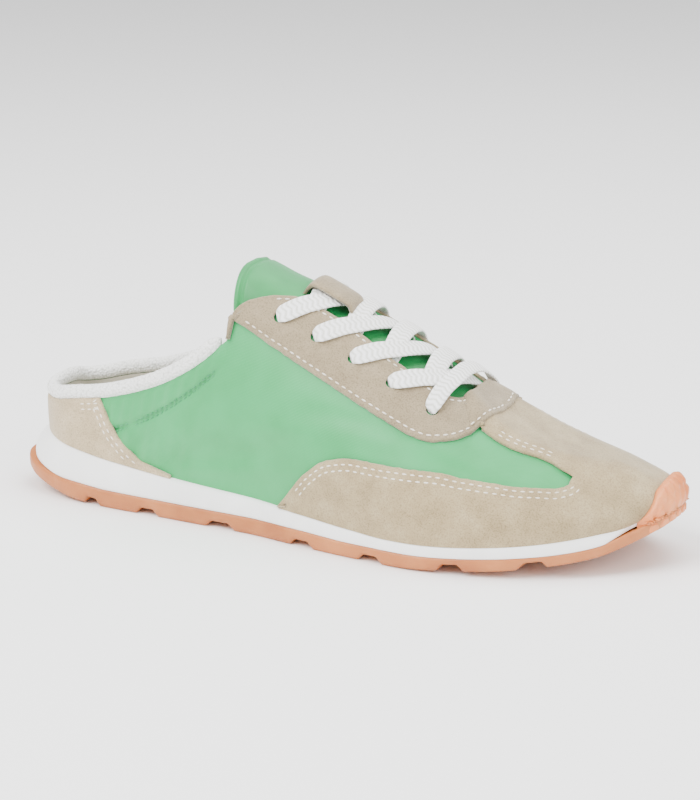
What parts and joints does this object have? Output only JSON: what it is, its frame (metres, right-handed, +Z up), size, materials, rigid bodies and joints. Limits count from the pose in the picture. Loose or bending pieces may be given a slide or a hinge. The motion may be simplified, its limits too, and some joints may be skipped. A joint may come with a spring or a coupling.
{
  "type": "running shoe",
  "caption": "Low-backed retro running shoe for the right foot: nylon upper with suede overlays, terry collar, foam wedge, lugged gum sole, flat laces.",
  "frame": {"origin": "middle of the shoe's bounding box in plan, on the floor plane that heel and forefoot lugs stand on", "axes": "+X from heel to toe, +Y towards the inner (medial) side, +Z up"},
  "size_m": [0.2718, 0.0934, 0.1005],
  "materials": {
    "gum_rubber": "warm gum rubber, satin, fine grain",
    "foam_white": "white moulded foam, matt",
    "insole_textile": "pale woven lining cloth on foam",
    "green_nylon": "satin plain-weave nylon, soft sheen",
    "terry_white": "white terry cloth, fully matt",
    "suede_taupe": "taupe suede, napped, raw edges",
    "suede_sand": "sand suede, napped, double stitched",
    "suede_pale": "pale suede, napped, double stitched",
    "cotton_lace": "flat white cotton braid"
  },
  "bodies": {
    "root": {"outsole": "gum_rubber", "midsole": "foam_white", "insole": "insole_textile", "upper": "green_nylon", "collar_binding": "terry_white", "eyestay": "suede_taupe", "toe_guard": "suede_sand", "heel_counter": "suede_pale", "tongue": "green_nylon", "lace_keeper": "suede_taupe", "lace_cross_1": "cotton_lace", "lace_cross_2": "cotton_lace", "lace_cross_3": "cotton_lace", "lace_cross_4": "cotton_lace", "lace_bar": "cotton_lace"}
  },
  "joints": []
}
